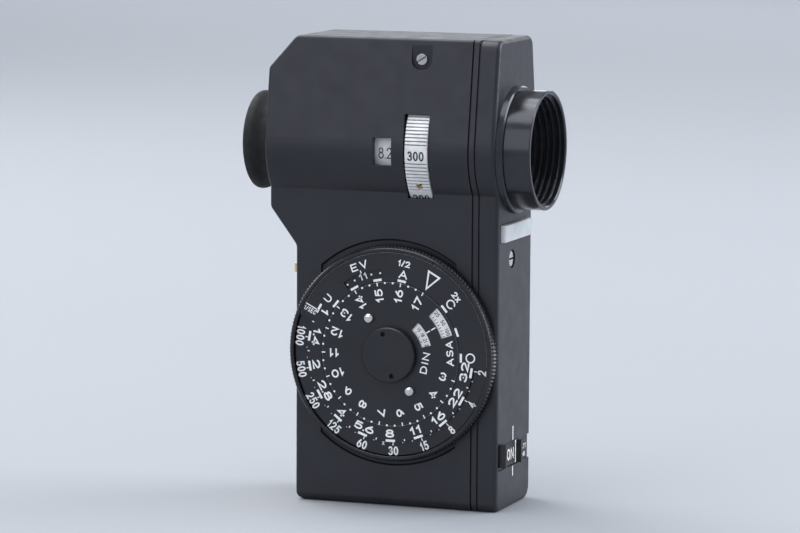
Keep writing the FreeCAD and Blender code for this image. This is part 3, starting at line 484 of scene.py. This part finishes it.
SIX = [
    arc((0.5, 0.32), (0.5, 0.32), 180, 540),
    [(0.72, 1.0), (0.26, 0.68), (0.04, 0.42)],
]
GLYPHS = {
    "0": (1.0, [arc((0.5, 0.5), (0.5, 0.5), 0, 360)]),
    "1": (0.6, [[(0.1, 0.72), (0.75, 1.0), (0.75, 0.0)]]),
    "2": (1.0, [[*arc((0.5, 0.7), (0.47, 0.3), 165, -32), (0.02, 0.0), (1.0, 0.0)]]),
    "3": (1.0, [[*arc((0.48, 0.76), (0.42, 0.24), 155, -85), *arc((0.48, 0.27), (0.5, 0.27), 85, -155)]]),
    "4": (1.0, [[(0.72, 0.0), (0.72, 1.0), (0.0, 0.28), (1.0, 0.28)]]),
    "5": (1.0, [[(0.9, 1.0), (0.2, 1.0), (0.1, 0.54), *arc((0.47, 0.32), (0.5, 0.32), 115, -150)]]),
    "6": (1.0, SIX),
    "7": (1.0, [[(0.0, 1.0), (1.0, 1.0), (0.35, 0.0)]]),
    "8": (1.0, [arc((0.5, 0.77), (0.4, 0.23), 0, 360), arc((0.5, 0.27), (0.5, 0.27), 0, 360)]),
    "9": (1.0, [[(1 - u, 1 - v) for u, v in line] for line in SIX]),
    ".": (0.1, [[(0.5, 0.0), (0.5, 0.01)]]),
    "/": (0.7, [[(0.0, 0.0), (1.0, 1.0)]]),
    "A": (1.15, [[(0.0, 0.0), (0.5, 1.0), (1.0, 0.0)], [(0.22, 0.34), (0.78, 0.34)]]),
    "B": (1.0, [
        [(0.0, 0.5), (0.0, 1.0), *arc((0.5, 0.75), (0.4, 0.25), 90, -90), (0.0, 0.5)],
        [(0.0, 0.5), *arc((0.5, 0.25), (0.5, 0.25), 90, -90), (0.0, 0.0), (0.0, 0.5)],
    ]),
    "C": (1.0, [arc((0.52, 0.5), (0.52, 0.5), 27, 333)]),
    "D": (1.0, [[(0.0, 0.0), (0.0, 1.0), *arc((0.4, 0.5), (0.6, 0.5), 90, -90), (0.0, 0.0)]]),
    "E": (0.95, [[(1.0, 1.0), (0.0, 1.0), (0.0, 0.0), (1.0, 0.0)], [(0.0, 0.5), (0.85, 0.5)]]),
    "H": (1.0, [[(0.0, 0.0), (0.0, 1.0)], [(1.0, 0.0), (1.0, 1.0)], [(0.0, 0.5), (1.0, 0.5)]]),
    "I": (0.1, [[(0.5, 0.0), (0.5, 1.0)]]),
    "K": (1.0, [[(0.0, 0.0), (0.0, 1.0)], [(1.0, 1.0), (0.0, 0.4)], [(0.3, 0.58), (1.0, 0.0)]]),
    "N": (1.0, [[(0.0, 0.0), (0.0, 1.0), (1.0, 0.0), (1.0, 1.0)]]),
    "O": (1.0, [arc((0.5, 0.5), (0.5, 0.5), 0, 360)]),
    "S": (1.0, [[*arc((0.5, 0.75), (0.45, 0.25), 30, 270), *arc((0.5, 0.25), (0.5, 0.25), 90, -150)]]),
    "T": (1.0, [[(0.0, 1.0), (1.0, 1.0)], [(0.5, 1.0), (0.5, 0.0)]]),
    "U": (1.0, [[(0.0, 1.0), *arc((0.5, 0.4), (0.5, 0.4), 180, 360), (1.0, 1.0)]]),
    "V": (1.1, [[(0.0, 1.0), (0.5, 0.0), (1.0, 1.0)]]),
    "x": (0.9, [[(0.0, 0.0), (1.0, 0.75)], [(0.0, 0.75), (1.0, 0.0)]]),
}


def side_reach(points, index, closed, half):
    """From a point of a line to its left edge, mitred between the ways that meet there."""
    point = points[index]
    ways = []
    if closed or index:
        ways.append((point - points[index - 1]).normalized())
    if closed or index < len(points) - 1:
        ways.append((points[(index + 1) % len(points)] - point).normalized())
    sides = [Vector((-way.y, way.x)) for way in ways]
    middle = sum(sides, Vector((0.0, 0.0))).normalized()
    return middle * half / max(middle.dot(sides[0]), SHARPEST_CORNER)


def draw_line(pieces, line, stroke, height, place):
    """A painted line of even width through points in millimetres; it closes if its ends meet."""
    points = [Vector(point) for point in line]
    closed = (points[0] - points[-1]).length < SAME_POINT
    if closed:
        points.pop()
    points = [
        point for index, point in enumerate(points)
        if (point - points[index - 1]).length > SAME_POINT
    ]
    half = stroke / 2
    if not closed:
        points[0] += (points[0] - points[1]).normalized() * half * LINE_END
        points[-1] += (points[-1] - points[-2]).normalized() * half * LINE_END
    rows = []
    for index, point in enumerate(points):
        reach = side_reach(points, index, closed, half)
        left = point + reach
        right = point - reach
        rows.append([
            place(left.x, left.y, height),
            place(right.x, right.y, height),
            place(right.x, right.y, -SUNK),
            place(left.x, left.y, -SUNK),
        ])
    if closed:
        pieces.grid(rows, True, True)
    else:
        pieces.rod(rows)


def write(pieces, text, width, height, stroke, gap, place):
    """Text whose digits have a width and height, centred where a function puts it.

    The stroke is the width of its lines and the gap the room between its letters.
    """
    widths = [max(GLYPHS[letter][0] * width, stroke) for letter in text]
    start = -(sum(widths) + gap * (len(text) - 1)) / 2
    for letter, room in zip(text, widths):
        for index, line in enumerate(GLYPHS[letter][1]):
            across = room - stroke
            rise = height - stroke
            scaled = [(start + stroke / 2 + u * across, (v - 0.5) * rise) for u, v in line]
            draw_line(pieces, scaled, stroke, PAINT + OVERLAP * index, place)
        start += room + gap


def dial_spot(radius, angle, face, tops):
    """Where type goes on the dial.

    Its tops point to the centre ("in") or away from it ("out"), or it reads outwards ("round") or
    towards the centre ("back").
    """
    angle = math.radians(angle)
    outwards = Vector((math.cos(angle), math.sin(angle)))
    onwards = Vector((-math.sin(angle), math.cos(angle)))
    across, up = {
        "in": (onwards, -outwards),
        "out": (-onwards, outwards),
        "round": (outwards, onwards),
        "back": (-outwards, -onwards),
    }[tops]
    centre = Vector((DIAL_X, DIAL_Z)) + outwards * radius

    def place(u, v, w):
        spot = centre + across * u + up * v
        return (spot.x, -(face + w), spot.y)

    return place


def box_outline(width, height):
    """A rectangle round the origin, anticlockwise."""
    return [(i * width / 2, j * height / 2) for i, j in ((-1, -1), (1, -1), (1, 1), (-1, 1))]


def round_outline(radius, count=14):
    """A circle round the origin, anticlockwise."""
    turns = [FULL_TURN * step / count for step in range(count)]
    return [(radius * math.cos(turn), radius * math.sin(turn)) for turn in turns]


def lay(pieces, outline, place):
    """A painted shape on a surface."""
    pieces.prism(outline, PAINT + SUNK, lambda u, v, w: place(u, v, w - SUNK))


# The dial.

STOP = 20.0
APERTURES = ["1", "1.4", "2", "2.8", "4", "5.6", "8", "11", "16", "22", "32"]
SPEEDS = ["1000", "500", "250", "125", "60", "30", "15", "8", "4", "2"]
LIGHT_VALUES = range(3, 18)
FIRST_APERTURE = 150.7
FIRST_SPEED = 172.0
MODE_LINES = (140.3, 120.3, 100.3, 80.6, 40.4, 20.2, 0.3)
EXPOSURE_INDEX_DOTS = (118.2, 104.8, 98.1, 124.3)
LAST_LIGHT_VALUE = 61.2


def add_aperture_scale():
    """The ring plate's numbers, each over a bar, with the letters of the meter's modes."""
    numbers = Pieces()
    marks = Pieces()
    for index, text in enumerate(APERTURES):
        angle = FIRST_APERTURE + STOP * index
        gap = 0.2 if "." in text else 0.4
        write(numbers, text, 2.45, 2.2, 0.46, gap, dial_spot(21.2, angle - 0.4, PLATE_FACE, "in"))
        lay(marks, box_outline(2.65, 0.64), dial_spot(23.12, angle, PLATE_FACE, "in"))
        if index:
            lay(marks, box_outline(0.28, 0.55), dial_spot(23.1, angle - STOP / 2, PLATE_FACE, "in"))
    for text, radius, angle, width, height, gap in (
        ("EV", 24.8, 110.8, 2.0, 2.1, 0.8),
        ("U", 22.5, 141.3, 1.9, 2.1, 0.0),
        ("A", 21.75, 80.3, 2.1, 2.2, 0.0),
        ("1/2", 24.65, 80.9, 1.4, 1.7, 0.12),
        ("C", 22.2, 40.0, 2.5, 2.5, 0.0),
        ("2x", 24.7, 41.2, 1.3, 1.75, 0.2),
        ("O", 22.6, 0.5, 2.7, 2.7, 0.0),
    ):
        write(numbers, text, width, height, 0.36, gap, dial_spot(radius, angle, PLATE_FACE, "out"))
    write(numbers, "1/SEC", 0.72, 1.3, 0.2, 0.14, dial_spot(25.1, 154.6, PLATE_FACE, "back"))
    lay(marks, box_outline(3.9, 0.3), dial_spot(25.0, 152.2, PLATE_FACE, "round"))
    lay(marks, box_outline(0.3, 0.8), dial_spot(23.15, 111.1, PLATE_FACE, "in"))
    for angle in MODE_LINES:
        lay(marks, box_outline(2.35, 0.62), dial_spot(19.95, angle, PLATE_FACE, "in"))
    corners = [(-1.7, 25.1), (1.7, 25.1), (0.0, 20.7), (-1.7, 25.1)]
    draw_line(marks, corners, 0.48, PAINT, dial_spot(0.0, 60.6, PLATE_FACE, "out"))
    numbers.make("aperture_numbers", "exposure_dial", "engraving_white")
    marks.make("aperture_marks", "exposure_dial", "engraving_white")


def add_light_value_scale():
    """The inner disc's numbers, read outwards, with a tick at each and dots at the thirds."""
    numbers = Pieces()
    marks = Pieces()
    highest = LIGHT_VALUES[-1]
    for value in LIGHT_VALUES:
        angle = LAST_LIGHT_VALUE + STOP * (highest - value)
        write(numbers, str(value), 2.05, 2.25, 0.43, 0.35, dial_spot(15.8, angle, PLATE_FACE, "round"))
        lay(marks, box_outline(1.0, 0.3), dial_spot(18.85, angle, PLATE_FACE, "round"))
        if value < highest:
            for part in (1, 2):
                spot = dial_spot(19.05, angle - STOP * part / 3, PLATE_FACE, "in")
                lay(marks, round_outline(0.28), spot)
    write(numbers, "ASA", 1.8, 2.0, 0.36, 0.4, dial_spot(16.9, 3.9, PLATE_FACE, "in"))
    write(numbers, "DIN", 2.0, 2.0, 0.34, 0.65, dial_spot(10.05, -10.3, PLATE_FACE, "in"))
    for start, end in ((12.0, 13.2), (13.6, 14.95)):
        spot = dial_spot((start + end) / 2, 31.5, PLATE_FACE, "round")
        lay(marks, box_outline(end - start, 0.32), spot)
    numbers.make("light_value_numbers", "film_speed_dial", "engraving_white")
    marks.make("light_value_marks", "film_speed_dial", "engraving_white")


def add_speed_scale():
    """The fixed disc's shutter speeds, and the exposure index in its window."""
    numbers = Pieces()
    marks = Pieces()
    for index, text in enumerate(SPEEDS):
        angle = FIRST_SPEED + STOP * index
        write(numbers, text, 1.32, 2.4, 0.4, 0.2, dial_spot(25.9, angle, DISC_FACE, "in"))
        lay(marks, box_outline(0.3, 0.85), dial_spot(24.05, angle, DISC_FACE, "in"))
        if index:
            for part in (1, 2):
                spot = dial_spot(23.75, angle - STOP * part / 3, DISC_FACE, "in")
                lay(marks, round_outline(0.17), spot)
    write(numbers, "x", 0.8, 1.2, 0.18, 0.0, dial_spot(24.0, -94.6, DISC_FACE, "in"))
    write(numbers, "11", 1.75, 1.9, 0.32, 0.35, dial_spot(21.8, 111.2, DISC_FACE, "out"))
    for angle in EXPOSURE_INDEX_DOTS:
        lay(marks, round_outline(0.27), dial_spot(21.7, angle, DISC_FACE, "in"))
    numbers.make("speed_numbers", "case", "engraving_white")
    marks.make("speed_marks", "case", "engraving_white")


FILM_SCALE_FACE = 16.37
FILM_SCALE_INNER = 8.6
FILM_SCALE_OUTER = 19.0
FILM_SPEEDS = ["12", "25", "50", "100", "200", "400", "800", "1600"]
FILM_STEP = 9.0
FIRST_FILM_SPEED = 41.0


def add_film_scale():
    """The silvered sheet below the two film-speed windows, with its numbers."""
    sheet = Pieces()
    columns = 240
    back = DISC_FACE - 0.02
    profile = [
        (back, FILM_SCALE_INNER),
        (back, FILM_SCALE_OUTER),
        (FILM_SCALE_FACE, FILM_SCALE_OUTER),
        (FILM_SCALE_FACE, FILM_SCALE_INNER),
    ]
    rows = [
        [about_dial(depth, radius, FULL_TURN * column / columns) for column in range(columns)]
        for depth, radius in profile
    ]
    sheet.grid(rows, True, True)
    sheet.make("film_scale", "case", "bright_metal", 40)
    numbers = Pieces()
    for index in range(36):
        angle = FIRST_FILM_SPEED - FILM_STEP * index
        grade = (index + 1) % len(FILM_SPEEDS)
        place = dial_spot(17.3, angle, FILM_SCALE_FACE, "out")
        write(numbers, FILM_SPEEDS[grade], 0.62, 1.1, 0.16, 0.16, place)
        place = dial_spot(10.6, angle, FILM_SCALE_FACE, "out")
        write(numbers, str(12 + 3 * grade), 0.55, 1.0, 0.15, 0.14, place)
        lay(numbers, box_outline(0.5, 0.16), dial_spot(9.5, angle, FILM_SCALE_FACE, "round"))
        for part in range(3):
            spot = dial_spot(15.9, angle - FILM_STEP / 3 * part, FILM_SCALE_FACE, "round")
            lay(numbers, box_outline(0.7, 0.16), spot)
    numbers.make("film_scale_numbers", "case", "engraving_black")


def add_edge_line(name, body, radius, width, start, end):
    """A painted highlight along the edge of a blackened plate: a thin bevelled ring of bright steel
    between two angles.
    """
    whole = end - start >= 360.0
    columns = 240
    steps = columns if whole else columns + 1
    proud = 0.015
    face = PLATE_FACE + proud
    outer = radius + proud
    inner = radius - 0.03
    back = face - 0.05
    profile = [(face - width, outer), (face, outer - width), (back, inner - width), (back - width, inner)]
    angles = [math.radians(start + (end - start) * step / columns) for step in range(steps)]
    rows = [[about_dial(depth, distance, angle) for depth, distance in profile] for angle in angles]
    ring = Pieces()
    if whole:
        ring.grid(rows, True, True)
    else:
        ring.rod(rows)
    ring.make(name, body, "meter_steel", 30)


KEY_ANGLE = 61.0
KEY_HALF = 3.35
TEETH = 180
TOOTH_DEPTH = 0.34
RIM_BACK = 13.85
RIM_FACE = 17.2
RIM_INNER = 27.35
RIM_OUTER = 28.99
NOTCH_FLOOR = 16.38


def rim_columns(start, end):
    """(angle, whether in the notch) round the rim, with a pair at each side of the notch."""
    count = 6 * TEETH
    columns = []
    for step in range(count):
        angle = 360.0 * step / count
        if min(abs(angle - start), abs(angle - end)) > 0.12:
            columns.append((angle, start < angle < end))
    columns += [(start, False), (start, True), (end, True), (end, False)]
    return sorted(columns, key=lambda column: column[0])


def add_dial_rim():
    """The exposure ring with its knurl, and the notch that takes the plate's key."""
    rows = []
    for degrees, notched in rim_columns(KEY_ANGLE - KEY_HALF, KEY_ANGLE + KEY_HALF):
        wave = 0.5 - 0.5 * math.cos(math.radians(degrees) * TEETH)
        bite = TOOTH_DEPTH * wave**0.7
        top = NOTCH_FLOOR if notched else RIM_FACE
        inner_top = NOTCH_FLOOR if notched else RIM_FACE - 0.12
        profile = [
            (RIM_BACK, RIM_INNER),
            (RIM_BACK, 28.3),
            (14.2, RIM_OUTER - bite),
            (15.95, RIM_OUTER - bite),
            (16.35, 28.6 - 0.6 * bite),
            (16.4, 28.52),
            (16.75, 28.5),
            (17.12, 28.22),
            (RIM_FACE, 28.12),
            (top, 28.1),
            (top, 27.46),
            (inner_top, RIM_INNER),
        ]
        angle = math.radians(degrees)
        rows.append([about_dial(depth, radius, angle) for depth, radius in profile])
    rim = Pieces()
    rim.grid(rows, True, True)
    item = rim.make("dial_rim", "exposure_dial", "rim_black", 28)
    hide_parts("exposure_ring")


STUD_ANGLE = 121.5
STUD_CIRCLE = 11.1


def add_grip_studs():
    """The two domed studs of the inner disc."""
    studs = Pieces()
    turns = [FULL_TURN * column / 28 for column in range(28)]
    profile = [(16.45, 1.28), (17.75, 1.28), (18.0, 1.2), (18.18, 0.95), (18.27, 0.6), (18.3, 0.25)]
    for angle in (STUD_ANGLE, STUD_ANGLE - 180.0):
        x, _, z = about_dial(0.0, STUD_CIRCLE, math.radians(angle))
        rows = []
        for depth, radius in profile:
            rows.append([(x + radius * math.cos(t), -depth, z + radius * math.sin(t)) for t in turns])
        studs.rod(rows)
    item = studs.make("grip_studs", "film_speed_dial", "screw_steel", 50)
    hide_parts("grip_pins")


# The zoom ring and its numbers.

RING_RADIUS = 18.3
RING_INNER = 14.97
RING_LEFT = 3.7
RING_RIGHT = 10.1
DRUM_RADIUS = 14.98
LABEL_ANGLE = -2.3
LABEL_STEP = 40.0
LABEL_HALF = 7.9
GROOVE_STEP = 3.03
WIDEST_LAND = 2.2  # degrees between two grooves; a wider gap is a label's, and is made of facets
LABEL_FACET = 1.5
GROOVE = ((-0.62, 0.0), (-0.42, 0.16), (0.0, 0.34), (0.42, 0.16), (0.62, 0.0))  # angle, depth
SCREW_ANGLE = -31.0
SCREW_X = 7.2
SCREW_RADIUS = 0.88
SCREW_FOOT = 15.2
SCREW_SLOT_HALF = 0.17
SCREW_SLOT_FLOOR = 16.75
SCREW_FACE = 17.3
SLOT_TURN = 0.6
FOCAL_LENGTHS = ["300", "200", "135", "85", "50"]
FIELD_ANGLES = ["8.2", "12", "18", "28", "46"]


def groove_angles():
    """Where the ring is grooved, in degrees: everywhere but at its labels."""
    angles = []
    for index in range(len(FOCAL_LENGTHS) - 1):
        start = LABEL_ANGLE - LABEL_STEP * index - LABEL_HALF
        angles.extend(start - GROOVE_STEP * step for step in range(9))
    start = LABEL_ANGLE + LABEL_HALF
    end = LABEL_ANGLE - LABEL_STEP * (len(FOCAL_LENGTHS) - 1) - LABEL_HALF + 360.0
    count = round((end - start) / GROOVE_STEP)
    angles.extend(start + (end - start) * step / count for step in range(count + 1))
    return sorted(angle % 360.0 for angle in angles)


def add_zoom_wheel():
    """The zoom ring with grooves along it and a hole for its set screw."""
    columns = []
    for angle in groove_angles():
        columns.extend((angle + offset, depth) for offset, depth in GROOVE)
    filled = []
    for index, (angle, depth) in enumerate(columns):
        filled.append((angle, depth))
        following = columns[(index + 1) % len(columns)][0]
        gap = (following - angle) % 360.0
        if gap > WIDEST_LAND and depth == 0.0:
            parts = math.ceil(gap / LABEL_FACET)
            filled.extend((angle + gap * part / parts, 0.0) for part in range(1, parts))
    rows = []
    for degrees, depth in filled:
        radius = RING_RADIUS - 0.02 - depth
        profile = [
            (RING_LEFT, RING_INNER),
            (RING_LEFT, radius - 0.3),
            (RING_LEFT + 0.1, radius - 0.09),
            (RING_LEFT + 0.3, radius),
            (RING_RIGHT - 0.3, radius),
            (RING_RIGHT - 0.1, radius - 0.09),
            (RING_RIGHT, radius - 0.3),
            (RING_RIGHT, RING_INNER),
        ]
        angle = math.radians(degrees)
        rows.append([about_x(along, distance, angle) for along, distance in profile])
    wheel = Pieces()
    wheel.grid(rows, True, True)
    item = wheel.make("zoom_wheel", "zoom", "bright_metal", 30)
    drill(item)
    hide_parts("zoom_ring")


def screw_direction():
    """From the optical axis towards the zoom ring's set screw."""
    turn = math.radians(SCREW_ANGLE)
    return Vector((0.0, -math.cos(turn), math.sin(turn)))


def make_drill():
    """A cylinder where the set screw's hole goes, for cutting it."""
    outwards = screw_direction()
    middle = Vector((SCREW_X, 0.0, AXIS_Z)) + outwards * 17.0
    matrix = Matrix.Translation(middle * MM) @ outwards.to_track_quat("Z", "Y").to_matrix().to_4x4()
    radius = (SCREW_RADIUS + 0.08) * MM
    work = bmesh.new()
    bmesh.ops.create_cone(
        work, cap_ends=True, segments=40, radius1=radius, radius2=radius, depth=6 * MM, matrix=matrix
    )
    mesh = bpy.data.meshes.new("drill")
    work.to_mesh(mesh)
    work.free()
    tool = bpy.data.objects.new("drill", mesh)
    scene.collection.objects.link(tool)
    return tool


def drill(item):
    """Cuts the set screw's hole through the ring."""
    tool = make_drill()
    cut = item.modifiers.new("hole", "BOOLEAN")
    cut.object = tool
    cut.operation = "DIFFERENCE"
    cut.solver = "EXACT"
    graph = bpy.context.evaluated_depsgraph_get()
    result = bpy.data.meshes.new_from_object(item.evaluated_get(graph))
    item.modifiers.clear()
    whole = item.data
    bit = tool.data
    item.data = result
    bpy.data.objects.remove(tool)
    bpy.data.meshes.remove(whole)
    bpy.data.meshes.remove(bit)


def add_set_screw():
    """The zoom ring's set screw: two halves of a head with a slot between them, sunk in its hole."""
    outwards = screw_direction()
    sideways = Vector((1.0, 0.0, 0.0))
    onwards = outwards.cross(sideways)
    centre = Vector((SCREW_X, 0.0, AXIS_Z))

    def place(u, v, w):
        return tuple(centre + sideways * u + onwards * v + outwards * w)

    screw = Pieces()
    shank = SCREW_SLOT_FLOOR + 0.05 - SCREW_FOOT
    screw.prism(round_outline(SCREW_RADIUS, 32), shank, lambda u, v, w: place(u, v, w + SCREW_FOOT))
    half_slot = math.asin(SCREW_SLOT_HALF / SCREW_RADIUS)
    head = SCREW_FACE - SCREW_SLOT_FLOOR
    for side in (0.0, math.pi):
        start = side + SLOT_TURN + half_slot
        end = side + SLOT_TURN + math.pi - half_slot
        turns = [start + (end - start) * step / 16 for step in range(17)]
        outline = [(SCREW_RADIUS * math.cos(t), SCREW_RADIUS * math.sin(t)) for t in turns]
        screw.prism(outline, head, lambda u, v, w: place(u, v, w + SCREW_SLOT_FLOOR))
    item = screw.make("ring_set_screw", "zoom", "brass")
    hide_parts("zoom_ring_screw")


def add_barrel_numbers():
    """Focal lengths on the zoom ring and angles of view on the drum beside it."""
    numbers = Pieces()

    def wrapped(along, radius, degrees):
        middle = math.radians(degrees)
        return lambda u, v, w: about_x(along + u, radius + w, middle + v / radius)

    for index, (length, field) in enumerate(zip(FOCAL_LENGTHS, FIELD_ANGLES)):
        degrees = LABEL_ANGLE - LABEL_STEP * index - 1.3
        write(numbers, length, 1.36, 2.5, 0.36, 0.26, wrapped(6.85, RING_RADIUS + 0.03, degrees))
        write(numbers, field, 1.5, 2.95, 0.26, 0.26, wrapped(-2.85, DRUM_RADIUS, degrees))
    numbers.make("barrel_numbers", "zoom", "engraving_black")


# The eyecup, the switch and the nose.

CUP_START = -36.4
CUP_BORE = 9.5
CUP_DEPTH = 6.65


def add_eye_cup():
    """The flared rubber cup, folded in at its mouth."""
    flare = [
        (1.5, 11.75), (3.2, 11.9), (4.6, 12.5), (5.8, 13.1), (6.8, 13.28),
        (7.6, 13.1), (8.1, 12.5), (8.25, 11.8), (8.1, 11.2), (7.3, 10.5),
    ]
    root = [(0.0, CUP_BORE), (0.0, 11.7)]
    mouth = [(CUP_DEPTH, 10.1), (CUP_DEPTH, CUP_BORE)]
    columns = 120
    rows = [
        [about_x(CUP_START - reach, radius, FULL_TURN * column / columns) for column in range(columns)]
        for reach, radius in [*root, *smooth_profile(flare, 4), *mouth]
    ]
    cup = Pieces()
    cup.grid(rows, True, True)
    item = cup.make("rubber_eyecup", "case", "soft_rubber", 50)
    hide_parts("eyecup")


def nose_spot(face, y, z):
    """Where type goes on the nose: it reads towards the back."""
    return lambda u, v, w: (face + w, y + u, z + v)


def add_nose_marks():
    """The switch's index lines and words."""
    lines = Pieces()
    for length, height in ((3.7, 19.7), (2.7, 9.5)):
        lay(lines, box_outline(0.5, length), nose_spot(NOSE_FACE, -0.7, height))
    channel = NOSE_FACE - 0.8
    for text, height in (("BATT", 14.3), ("CHK", 12.2)):
        write(lines, text, 0.95, 1.3, 0.2, 0.25, nose_spot(channel, 10.2, height))
    lines.make("nose_marks", "case", "engraving_white")
    words = Pieces()
    plate = NOSE_FACE - 0.25
    write(words, "ON", 2.35, 3.1, 0.42, 0.6, nose_spot(plate, -1.9, 14.2))
    lay(words, box_outline(0.7, 6.0), nose_spot(plate, 2.3, 14.3))
    words.make("switch_marks", "switch", "engraving_white")


# The CAD nodes.


def finish_frame():
    """Gives each CAD node its slot's material, and the angle drum its white paint."""
    for name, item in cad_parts.items():
        for holder in item.material_slots:
            slot = holder.material.name.split(".")[0]
            holder.material = finishes["drum_white" if name == "angle_drum" else slot]


finishes = make_finishes()
add_camera()
add_light()
add_floor(floor_paper())
finish_frame()
add_dial_rim()
add_grip_studs()
add_set_screw()
add_aperture_scale()
add_light_value_scale()
add_speed_scale()
add_film_scale()
# painted highlights: bright steel rings along the film dial's edge and along the lit upper arc of the
# plate's edge
add_edge_line("film_dial_edge_highlight", "film_speed_dial", 19.4, 0.18, 0.0, 360.0)
add_edge_line("plate_edge_highlight", "exposure_dial", 27.3, 0.16, -5.0, 159.0)
add_zoom_wheel()
add_barrel_numbers()
add_eye_cup()
add_nose_marks()

scene.view_settings.view_transform = "Standard"
